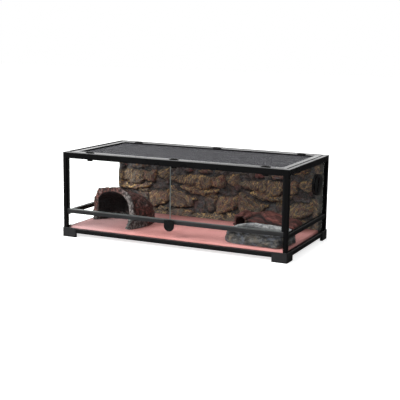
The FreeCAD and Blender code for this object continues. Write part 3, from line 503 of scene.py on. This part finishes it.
def make_rock():
    """The rock wall: its relief in front, cut edges all round and a flat back."""
    low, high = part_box("rock_background")
    back = high.y / MM
    columns, rows = 440, 136
    zs = np.linspace(low.z / MM, high.z / MM, rows)
    x, z = np.meshgrid(np.linspace(low.x / MM, high.x / MM, columns), zs)
    stand, values, flow = rock_fields(x, z)
    # Towards both ends the relief gives way to a cut face, and the colours fade.
    end = high.x / MM - np.abs(x)
    cut_depth = CUT_STAND + CUT_WAVE * np.sin(z / 23.0 + 0.9 * np.sin(z / 11.0))
    stand += (cut_depth - stand) * step(26.0, 4.0, end)
    stand = TOP_STAND + (stand - TOP_STAND) * step(-10.0, 6.0, zs[-1] - z)
    values["ochre"] *= step(-30.0, 12.0, end)
    values["dark"] *= step(2.0, 22.0, end)
    values["red"] *= step(2.0, 22.0, end)
    values["foam"] = CUT_FOAM * step(9.0, 2.0, end)
    front = np.stack([x, back - stand, z], axis=-1)
    # Two rings round the front: the cut edge, just behind it, and the back.
    skirt = np.pad(front, ((2, 2), (2, 2), (0, 0)), mode="edge")
    cut, rear = np.ones(skirt.shape[:2], bool), np.ones(skirt.shape[:2], bool)
    cut[2:-2, 2:-2] = False
    rear[1:-1, 1:-1] = False
    skirt[cut, 1] += CUT_STEP
    skirt[rear, 1] = back
    skirt[:, [0, -1], 0] += (-END_LAP, END_LAP)
    high_count, wide_count = skirt.shape[:2]
    count = high_count * wide_count
    back_face = [count - wide_count, count - 1, wide_count - 1, 0]
    faces = grid_faces(high_count, wide_count) + [back_face]
    rock = new_object("rock_wall", skirt.reshape(-1, 3) * MM, faces)
    for name, field in values.items():
        field = np.pad(field, 2, mode="edge")
        if name == "foam":
            field[cut], field[rear] = CUT_FOAM, 1.0
        set_values(rock, name, field)
    runs = rock.data.attributes.new("flow", "FLOAT_VECTOR", "POINT")
    flow = np.pad(flow, ((2, 2), (2, 2), (0, 0)), mode="edge")
    runs.data.foreach_set("vector", flow.astype(np.float32).ravel())
    return rock


# Sand, hide, bowl and bark

def make_sand():
    """The sand: low waves on top, and sides down to the floor pane."""
    low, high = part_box("sand_bed")
    columns, rows = 300, 130
    x, y = np.meshgrid(np.linspace(low.x, high.x, columns), np.linspace(low.y, high.y, rows))
    flat = np.stack([x, y, np.zeros_like(x)], axis=-1)
    dune = fractal(flat, 6.0, 3, (2.0, 4.0, 1.0))
    ripple = fractal(flat, 38.0, 3, (6.0, 1.0, 3.0))
    edge = np.minimum(np.minimum(x - low.x, high.x - x), np.minimum(y - low.y, high.y - y))
    top = high.z + (1.4 * dune + 0.35 * ripple - 0.6) * MM - 1.2 * MM * step(0.012, 0.0, edge)
    surface = np.pad(np.stack([x, y, top], axis=-1), ((1, 1), (1, 1), (0, 0)), mode="edge")
    rim = np.ones(surface.shape[:2], bool)
    rim[1:-1, 1:-1] = False
    surface[rim, 2] = low.z
    sand = new_object("sand_layer", surface.reshape(-1, 3), grid_faces(*surface.shape[:2]))
    set_values(sand, "edge", np.pad(step(0.011, 0.005, x - low.x), 1, mode="edge"))
    # Painted reflection: the sand is marked paler towards the left end.
    set_values(sand, "pale", np.pad(step(-0.14, -0.36, x + 0.04 * dune), 1, mode="edge"))
    # Painted shade: darker sand within 90 mm of the wall.
    set_values(sand, "wall_shade", np.pad(step(0.09, 0.0, high.y - y - 0.02 * dune), 1, mode="edge"))
    return sand


# Outer and inner outline of the hide's mouth in millimetres: across and up, from the left foot to the right.
HIDE_ARCH = [(-114, 0), (-124, 42), (-118, 78), (-100, 110), (-92, 130), (-52, 134), (-8, 145), (28, 146),
             (60, 144), (98, 130), (113, 109), (125, 84), (128, 58), (133, 0)]
HIDE_MOUTH = [(-94, 0), (-93, 24), (-92, 60), (-89, 90), (-68, 107), (-41, 117), (-8, 125), (17, 126),
              (38, 124), (66, 116), (88, 102), (101, 85), (102, 50), (91, 0)]
HIDE_LENGTH = 150.0
# Thickness of its back wall, and radius of its lip.
HIDE_WALL, HIDE_LIP = 26.0, 4.0
HIDE_SPOT, HIDE_ANGLE = (-310.0, -104.5), -21.7


def hide_section(share):
    """Share of the width and of the height that is left at a share of the length."""
    return np.interp(share, [0, 0.55, 1], [1, 0.93, 0.6]), np.interp(share, [0, 0.55, 1], [1, 0.8, 0.56])


def make_hide():
    """The cave hide, row by row: the cave from its end forward, the lip, and back along the outside."""
    columns = 130
    cave_end = HIDE_LENGTH - HIDE_WALL
    outer = resample(HIDE_ARCH, columns)
    inner = resample(HIDE_MOUTH, columns)
    rows, inside = [], []

    def row(line, run, dark):
        wide, tall = hide_section(np.clip(run / HIDE_LENGTH, 0, 1))
        rows.append(np.stack([line[:, 0] * wide, np.full(columns, run), line[:, 1] * tall], axis=1))
        inside.append(np.full(columns, dark))

    for share in (0.02, 0.5):
        row(inner * share, cave_end, 1.0)
    for run in np.linspace(cave_end, HIDE_LIP, 22):
        row(inner, run, 1.0)
    for turn in np.linspace(0.0, math.pi, 17):
        share = (1 - math.cos(turn)) / 2
        run = HIDE_LIP - HIDE_LIP * math.sin(turn)
        row(inner * (1 - share) + outer * share, run, max(0.0, 1 - share * 7))
    for run in np.linspace(HIDE_LIP, HIDE_LENGTH, 50):
        row(outer, run, 0.0)
    for share in (0.6, 0.02):
        row(outer * share, HIDE_LENGTH, 0.0)
    smooth = np.stack(rows)
    hidden = np.stack(inside)
    foot = step(46.0, 10.0, smooth[..., 2]) * (1 - hidden)
    near = step(90.0, 10.0, smooth[..., 1])
    lip = step(14.0, 4.0, smooth[..., 1]) * (1 - hidden)
    lumps = fractal(smooth, 0.03, 4, (4.0, 1.0, 9.0))
    knots = ridged(smooth, 0.075, 3, (8.0, 3.0, 2.0))
    swell = (3.5 * lumps + 4.5 * (knots - 0.5)) * (1 - 0.85 * hidden)
    outward = -grid_normals(smooth)
    grid = smooth + outward * swell[..., None]
    # The feet spread sideways and forward, most of all in front and at the right.
    grid[..., 0] += np.sign(grid[..., 0]) * foot * (2 + 4 * near) * (1 + lumps)
    right = step(20.0, 110.0, grid[..., 0])
    grid[..., 1] -= foot * near * (16 + 8 * right) * np.clip(0.7 + 1.2 * lumps, 0.1, 1.6)
    grid[..., 2] = np.maximum(grid[..., 2], 0.0)
    points = placed(grid, HIDE_ANGLE, HIDE_SPOT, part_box("cave_hide")[0].z)
    hide = new_object("hide_cave", points, grid_faces(*grid.shape[:2]))
    ashes = fractal(smooth, 0.03, 3, (1.0, 7.0, 3.0))
    toe = step(34.0, 14.0, grid[..., 2]) * step(75.0, 25.0, grid[..., 1])
    sole = hidden * step(30.0, 14.0, grid[..., 2])
    ashy = foot * near * 1.3 + toe + sole + lip * right * 0.8 + step(0.25, 0.7, ashes) * 0.3
    # Painted shade: the inside of the cave is marked for near black, less on its floor.
    set_values(hide, "inside", hidden - 0.75 * sole)
    set_values(hide, "grey", np.clip(ashy, 0, 1))
    return hide


# Outline of the bowl, as shares of half its length and half its width.
BOWL_PLAN = [(-1.0, -0.75), (-0.75, -1.0), (0.55, -0.97), (0.97, -0.85), (1.02, 0.4), (0.98, 0.93),
             (0.05, 1.0), (-0.85, 0.9), (-1.0, -0.75)]
BOWL_HALF = np.array([114.0, 79.0])
# Inset from the outline and height of its rings, from the ground over the rim down to the basin.
BOWL_PROFILE = [(2, 0), (0, 5), (0, 14), (2, 24), (4, 34), (7, 43), (10, 48.5), (13, 51), (16, 52), (20, 52),
                (24, 51.5), (27, 50), (29, 45), (32, 37), (35, 28), (38, 22), (44, 20)]
BOWL_SPOT, BOWL_ANGLE = (319.0, -126.5), -4.0
# Share of its height that it loses towards the front, and towards the right.
BOWL_TILT = 0.07


def make_bowl():
    """The stone bowl, ring by ring, roughened, with its basin closed in the middle."""
    columns = 170
    plan = resample(BOWL_PLAN, columns + 1)[:-1]
    profile = resample(BOWL_PROFILE, 38)
    rings = [np.column_stack([plan * (BOWL_HALF - inset), np.full(columns, height)])
             for inset, height in profile]
    bottom = rings[-1]
    for share in (0.5, 0.02):
        ring = bottom.copy()
        ring[:, :2] *= share
        rings.append(ring)
    smooth = np.stack(rings)
    blocks = fractal(smooth, 0.04, 4, (2.0, 6.0, 4.0), (0.8, 0.8, 1.2))
    chips = ridged(smooth, 0.06, 4, (5.0, 2.0, 7.0), (0.7, 0.7, 1.3))
    swell = 3.0 * blocks + 3.6 * (chips - 0.6)
    basin = np.concatenate([step(27, 33, profile[:, 0]), [1, 1]])[:, None] * np.ones(columns)
    rim = np.concatenate([step(6, 13, profile[:, 0]), [1, 1]])[:, None] * np.ones(columns)
    grid = smooth + grid_normals(smooth, closed=True) * (swell * (1 - 0.6 * rim))[..., None]
    half_length, half_width = BOWL_HALF
    forward = step(half_width, -half_width, grid[..., 1])
    grid[..., 2] *= (1.0 - BOWL_TILT * forward) * (1.0 - BOWL_TILT * grid[..., 0] / half_length)
    grid[..., 2] = np.maximum(grid[..., 2], 0.0)
    points = placed(grid, BOWL_ANGLE, BOWL_SPOT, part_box("water_bowl")[0].z)
    bowl = new_object("bowl_stone", points, grid_faces(*grid.shape[:2], closed=True))
    set_values(bowl, "basin", basin)
    set_values(bowl, "rim", rim)
    return bowl


# Crest of the bark in millimetres: along its length and up.
BARK_LINE = [(-123, 0), (-124, 40), (-116, 50), (-105, 53), (-93, 54), (-86, 48), (-66, 50), (-40, 54),
             (-20, 56), (0, 66), (18, 60), (52, 54), (86, 45), (113, 42), (128, 27), (131, 0)]
# The crease that sweeps over its front.
BARK_CREASE = [(-131, 8), (-90, 22), (-70, 38), (-47, 51), (-32, 53), (-20, 50), (-7, 46), (12, 37),
               (32, 32), (53, 30), (90, 24), (131, 12)]
# Half its depth, its thickness, and the level that its relief stays under.
BARK_HALF, BARK_THICKNESS, BARK_TOP = 40.0, 9.0, 64.8
BARK_SPOT, BARK_ANGLE = (254.0, 113.5), -3.0


def make_bark():
    """The bark: a ridged upper side whose front slopes down, a plain under side, and both ends closed."""
    columns, rows = 170, 50
    crest = resample(BARK_LINE, columns)
    across = np.linspace(-BARK_HALF, BARK_HALF, rows)
    middle = across[:, None] / BARK_HALF
    front = np.abs(np.clip(middle - 0.2, -1.2, 0) / 1.2)
    lower = np.interp(crest[:, 0], [-131, -95, -40, 131], [0.05, 0.12, 0.5, 0.5])
    bow = 1.0 - lower * front ** 1.5 - 0.2 * np.clip(middle - 0.2, 0, 1) ** 2

    def layer(reach, drop):
        side = np.zeros((rows, columns, 3))
        side[..., 0] = crest[:, 0] * reach
        side[..., 1] = across[:, None]
        side[..., 2] = np.maximum(crest[:, 1] * bow - drop, 0.0)
        return side

    top, under = layer(1.0, 0.0), layer(0.94, BARK_THICKNESS)
    # The grain runs aslant.
    slant = top.copy()
    slant[..., 1] += 0.28 * slant[..., 0]
    fibre = ridged(slant, 0.045, 4, (3.0, 5.0, 1.0), (0.35, 1.5, 0.8))
    wave = fractal(slant, 0.028, 3, (9.0, 2.0, 6.0), (0.6, 1.2, 1.0))
    outward = grid_normals(top)
    outward *= np.where(outward[..., 2:] < 0, -1.0, 1.0)
    over = top[..., 2] - np.interp(top[..., 0], *zip(*BARK_CREASE))
    forward = step(0.3, 0.0, middle)
    crease = np.exp(-((over + 3.0) / 4.0) ** 2) * forward
    ridge = np.exp(-((over - 6.0) / 5.0) ** 2) * forward
    top = top + outward * (5.0 * (fibre - 0.6) + 3.0 * wave - 6.0 * crease + 4.0 * ridge)[..., None]
    line = np.stack([crest[:, 0], np.zeros(columns), np.zeros(columns)], 1)
    fray = fractal(line, 0.05, 3, (4.0, 4.0, 4.0))
    top[:2, :, 1] += 3.0 * fray
    top[-2:, :, 1] -= 3.0 * fray
    top[..., 2] = np.clip(top[..., 2], 0.0, BARK_TOP)
    # The fold value darkens the hollows of the grain, the crease as painted shade, and the front below the
    # crease.
    low_part = 0.45 * step(0.0, -6.0, over) * forward
    fold = np.clip(step(0.45, 0.15, fibre) * 0.7 + crease + low_part, 0, 1)
    plain = np.zeros((rows, columns))
    sides = np.concatenate([top, under[::-1]])
    points = placed(sides, BARK_ANGLE, BARK_SPOT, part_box("bark_slab")[0].z)
    index = np.arange(2 * rows * columns).reshape(2 * rows, columns)
    faces = quads(np.concatenate([index, index[:1]]))
    for end in (0, columns - 1):
        faces += quads(np.stack([index[:rows, end], index[rows:, end][::-1]]))
    bark = new_object("bark_arch", points, faces)
    set_values(bark, "under", np.concatenate([plain, plain + 1.0]))
    set_values(bark, "fold", np.concatenate([fold, plain]))
    return bark


# Screen wire

# Distance between wires, half their thickness, and how far each layer lies from the middle.
WIRE_PITCH, WIRE_RADIUS, WIRE_LIFT = 3.0 * MM, 0.3 * MM, 0.22 * MM


def make_wire():
    """Two layers of straight wires across each other, held in the slot of the screen frame."""
    low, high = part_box("screen_mesh")
    middle = (low.z + high.z) / 2
    section = [(-WIRE_RADIUS, -WIRE_RADIUS), (WIRE_RADIUS, -WIRE_RADIUS), (WIRE_RADIUS, WIRE_RADIUS),
               (-WIRE_RADIUS, WIRE_RADIUS)]
    points, faces = [], []
    for axis, lift in ((0, WIRE_LIFT), (1, -WIRE_LIFT)):
        other = 1 - axis
        count = int((high[other] - low[other]) / WIRE_PITCH)
        start = (low[other] + high[other] - WIRE_PITCH * (count - 1)) / 2
        for i in range(count):
            spot = start + i * WIRE_PITCH
            first = len(points)
            for end in (low[axis], high[axis]):
                for side, rise in section:
                    point = [0.0, 0.0, middle + lift + rise]
                    point[axis], point[other] = end, spot + side
                    points.append(point)
            for k in range(4):
                faces.append([first + k, first + (k + 1) % 4, first + 4 + (k + 1) % 4, first + 4 + k])
    return new_object("screen_wire", points, faces, smooth=False)


# Feet of the front screen latches

# Length, width and drop of a foot, and how much its corners are cut.
LATCH_FOOT, LATCH_CUT = (23.0, 10.0, 4.0), 4.0


def make_latch_foot(name):
    """Chamfered foot under a latch's tongue, which shows below the top rail."""
    low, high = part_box(name)
    length, width, drop = LATCH_FOOT
    rings = []
    # From just inside the tongue down to a softened lower edge.
    for inset, level in ((0.0, 0.2), (0.0, -drop + 1.0), (0.3, -drop + 0.3), (1.0, -drop)):
        end, side = length / 2 - inset, width / 2 - inset
        flat_end, flat_side = end - LATCH_CUT, side - LATCH_CUT
        plan = [(-flat_end, -side), (flat_end, -side), (end, -flat_side), (end, flat_side),
                (flat_end, side), (-flat_end, side), (-end, flat_side), (-end, -flat_side)]
        rings.append([(x, y, level) for x, y in plan])
    rings = np.array(rings)
    points = rings.reshape(-1, 3) * MM
    points += ((low.x + high.x) / 2, (low.y + high.y) / 2, low.z)
    index = np.arange(len(points)).reshape(rings.shape[:2])
    faces = [face[::-1] for face in grid_faces(*index.shape, closed=True)]
    faces += [index[-1, ::-1].tolist(), index[0].tolist()]
    return new_object(name.replace("latch", "latch_foot"), points, faces, smooth=False)


# Dressing of the CAD nodes

# A face looks along an axis where its normal has more than this share of it.
FLAT = 0.7


def pane_axis(name):
    """Axis across a pane: Z for the floor, X for the side panes, Y for the rest."""
    if name == "floor_glass":
        return 2
    return 0 if name.endswith(("left", "right")) and "door" not in name else 1


def paint_nodes():
    """Give every CAD node its material."""
    profile = black_profile("frame_black", 0.0035, 0.3, 0.0009)
    # The feet are a moulding of their own, but their tone, lighter than the rails', is painted light from the
    # left.
    moulding = black_profile("foot_black", 0.016, 0.4, 0.0014, 0.25)
    fitting = black_profile("fitting_black", 0.006, 0.36, 0.0006, 0.15)
    screen = black_profile("screen_black", 0.006, 0.24, 0.0007)
    # The sill is the frame's plastic; its lighter tone is a painted sheen.
    sill = black_profile("sill_black", 0.015, 0.36, 0.0016, 0.34)
    port = black_profile("port_black", 0.006, 0.34, 0.0009, 0.14)
    matte = black_profile("rail_matte", 0.004, 0.7, 0.0006, 0.0)
    glass, steel = clear_glass("glass_clear"), steel_paint("pin_steel")
    free_edge = glass_edge("glass_edge", (0.2, 0.24, 0.23), (0.42, 0.47, 0.46))
    # Painted shade: edges seated in the frame's grooves are near black.
    seated_edge = glass_edge("glass_seat", (0.003, 0.004, 0.004), (0.008, 0.01, 0.01))
    by_start = {"foot": moulding, "latch": fitting, "door": fitting, "lock": fitting, "bottom_rail": fitting,
                "port": port, "hinge": steel, "screen": screen, "front_sill": sill}
    for name, node in nodes.items():
        materials, faces = node.data.materials, node.data.polygons
        materials.clear()
        if "glass" in name:
            materials.append(glass)
            materials.append(free_edge if "door" in name else seated_edge)
            across = pane_axis(name)
            for face in faces:
                face.material_index = 0 if abs(face.normal[across]) > FLAT else 1
            continue
        found = [paint for start, paint in by_start.items() if name.startswith(start)]
        materials.append(found[0] if found else profile)
        # The top of the left rail is matte, the others shine.
        if name == "top_rail_left":
            materials.append(matte)
            for face in faces:
                face.material_index = 1 if face.normal.z > FLAT else 0


def furnish():
    """Make the scene's own pieces, and set each on its body."""
    made = [(make_rock(), "rock_background", "frame", "rock_foam", rock_paint),
            (make_sand(), "sand_bed", "frame", "sand", sand_paint),
            (make_hide(), "cave_hide", "hide", "hide_resin", hide_paint),
            (make_bowl(), "water_bowl", "bowl", "bowl_stone", bowl_paint),
            (make_bark(), "bark_slab", "bark", "bark", bark_paint),
            (make_wire(), "screen_mesh", "screen_lid", "mesh_wire", wire_paint)]
    for piece, node, body, slot, paint in made:
        piece.data.materials.append(paint(piece.name))
        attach(piece, body)
        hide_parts(node)
    # The rock comes close under the back latches, so only the front ones have feet.
    for name in [name for name in nodes if name.startswith("latch_front")]:
        foot = make_latch_foot(name)
        foot.data.materials.append(nodes[name].data.materials[0])
        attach(foot, "turn_" + name)


# Studio and camera

# Lamps: place, size, power in watts and the point that they face.
LAMPS = {"key": ((-3.8, -4.0, 3.3), (3.8, 3.2), 500.0, (-0.1, 0.0, 0.12)),
         "fill": ((-0.4, -2.9, 1.6), (1.6, 1.4), 20.0, (0.0, 0.0, 0.15)),
         "top": ((-0.5, 0.2, 2.4), (2.2, 1.6), 38.0, (0.0, 0.0, 0.15))}
# Half the floor's width, and the glow by which it ends in white for the camera.
FLOOR_REACH, FLOOR_GLOW = 14.0, 0.72
# Strength of the sky for all but the camera and reflections.
SKY_LEVEL = 0.42
# Camera fitted to the corners of the terrarium: angles in degrees, lens and sensor in millimetres.
CAMERA_AROUND, CAMERA_ABOVE, CAMERA_ROLL = 24.927, 10.398, 0.846
CAMERA_PLACE = (1.465, -3.1143, 0.7774)
CAMERA_LENS, CAMERA_SENSOR, CAMERA_REACH = 82.0, 36.0, 100.0


def add_light(name, place, size, power, target):
    lamp = bpy.data.lights.new(name, "AREA")
    lamp.shape = "RECTANGLE"
    lamp.size, lamp.size_y = size
    lamp.energy = power
    holder = bpy.data.objects.new(name, lamp)
    holder.location = place
    holder.rotation_euler = (Vector(target) - Vector(place)).to_track_quat("-Z", "Y").to_euler()
    bpy.context.scene.collection.objects.link(holder)


def make_floor():
    """A white floor that keeps the object's shadow, and is dark in reflections."""
    corners = [(-FLOOR_REACH, -FLOOR_REACH, 0), (FLOOR_REACH, -FLOOR_REACH, 0), (FLOOR_REACH, FLOOR_REACH, 0),
               (-FLOOR_REACH, FLOOR_REACH, 0)]
    floor = new_object("floor", corners, [[0, 1, 2, 3]])
    paint = Paint("floor_white")
    mottle = paint.noise(1.5, 2.0, 0.5)
    sight = paint.add("LightPath").outputs
    white = paint.mix(mottle, (0.8, 0.8, 0.8), (0.84, 0.84, 0.84))
    colour = paint.mix(sight["Is Glossy Ray"], white, (0.05, 0.05, 0.05))
    shade = paint.add("BsdfDiffuse", {"Color": colour}).outputs[0]
    glow = paint.add("Emission", {"Strength": paint.times(sight["Is Camera Ray"], FLOOR_GLOW)}).outputs[0]
    floor.data.materials.append(paint.show(paint.add("AddShader", {0: shade, 1: glow})))


def make_world():
    """White to the camera and even as light. In reflections it is bright behind and dim at the right."""
    world = bpy.data.worlds.new("studio")
    bpy.context.scene.world = world
    world.use_nodes = True
    sky = ShaderTree(world.node_tree)
    way = sky.add("SeparateXYZ", {0: sky.add("TexCoord").outputs["Generated"]}).outputs

    def ramp(axis, from_low, from_high, low, high):
        sockets = {"Value": way[axis], "From Min": from_low, "From Max": from_high, "To Min": low,
                   "To Max": high}
        return sky.add("MapRange", sockets).outputs[0]

    toward_back = ramp("Y", 0.0, 0.6, 0.1, 1.6)
    toward_left = ramp("X", -0.3, -0.55, 0.6, 1.25)
    toward_right = ramp("X", -0.345, -0.305, 0.0, 0.7)
    far_right = ramp("X", 0.05, 0.25, 1.0, 0.15)
    shine = sky.times(sky.times(toward_back, sky.plus(toward_left, toward_right)), far_right)
    seen = sky.add("LightPath").outputs
    light = sky.add("Mix", {0: seen["Is Glossy Ray"], 2: SKY_LEVEL, 3: shine}).outputs[0]
    level = sky.add("Mix", {0: seen["Is Camera Ray"], 2: light, 3: 1.0}).outputs[0]
    background = sky.add("Background", {"Color": (1.0, 1.0, 1.0), "Strength": level}).outputs[0]
    sky.add("OutputWorld", {"Surface": background})


def make_camera():
    around, above, roll = (math.radians(angle) for angle in (CAMERA_AROUND, CAMERA_ABOVE, CAMERA_ROLL))
    back = Vector((math.sin(around) * math.cos(above), -math.cos(around) * math.cos(above), math.sin(above)))
    right = Vector((math.cos(around), math.sin(around), 0.0))
    up = back.cross(right)
    tilted_right = right * math.cos(roll) + up * math.sin(roll)
    tilted_up = up * math.cos(roll) - right * math.sin(roll)
    camera = bpy.data.cameras.new("camera")
    camera.sensor_width = CAMERA_SENSOR
    camera.lens = CAMERA_LENS
    camera.clip_end = CAMERA_REACH
    holder = bpy.data.objects.new("camera", camera)
    turn = Matrix((tilted_right, tilted_up, back)).transposed().to_4x4()
    holder.matrix_world = Matrix.Translation(CAMERA_PLACE) @ turn
    bpy.context.scene.collection.objects.link(holder)
    bpy.context.scene.camera = holder


paint_nodes()
furnish()
make_floor()
make_world()
for lamp_name, lamp_settings in LAMPS.items():
    add_light(lamp_name, *lamp_settings)
make_camera()
bpy.context.scene.view_settings.view_transform = "Standard"

bpy.context.view_layer.update()
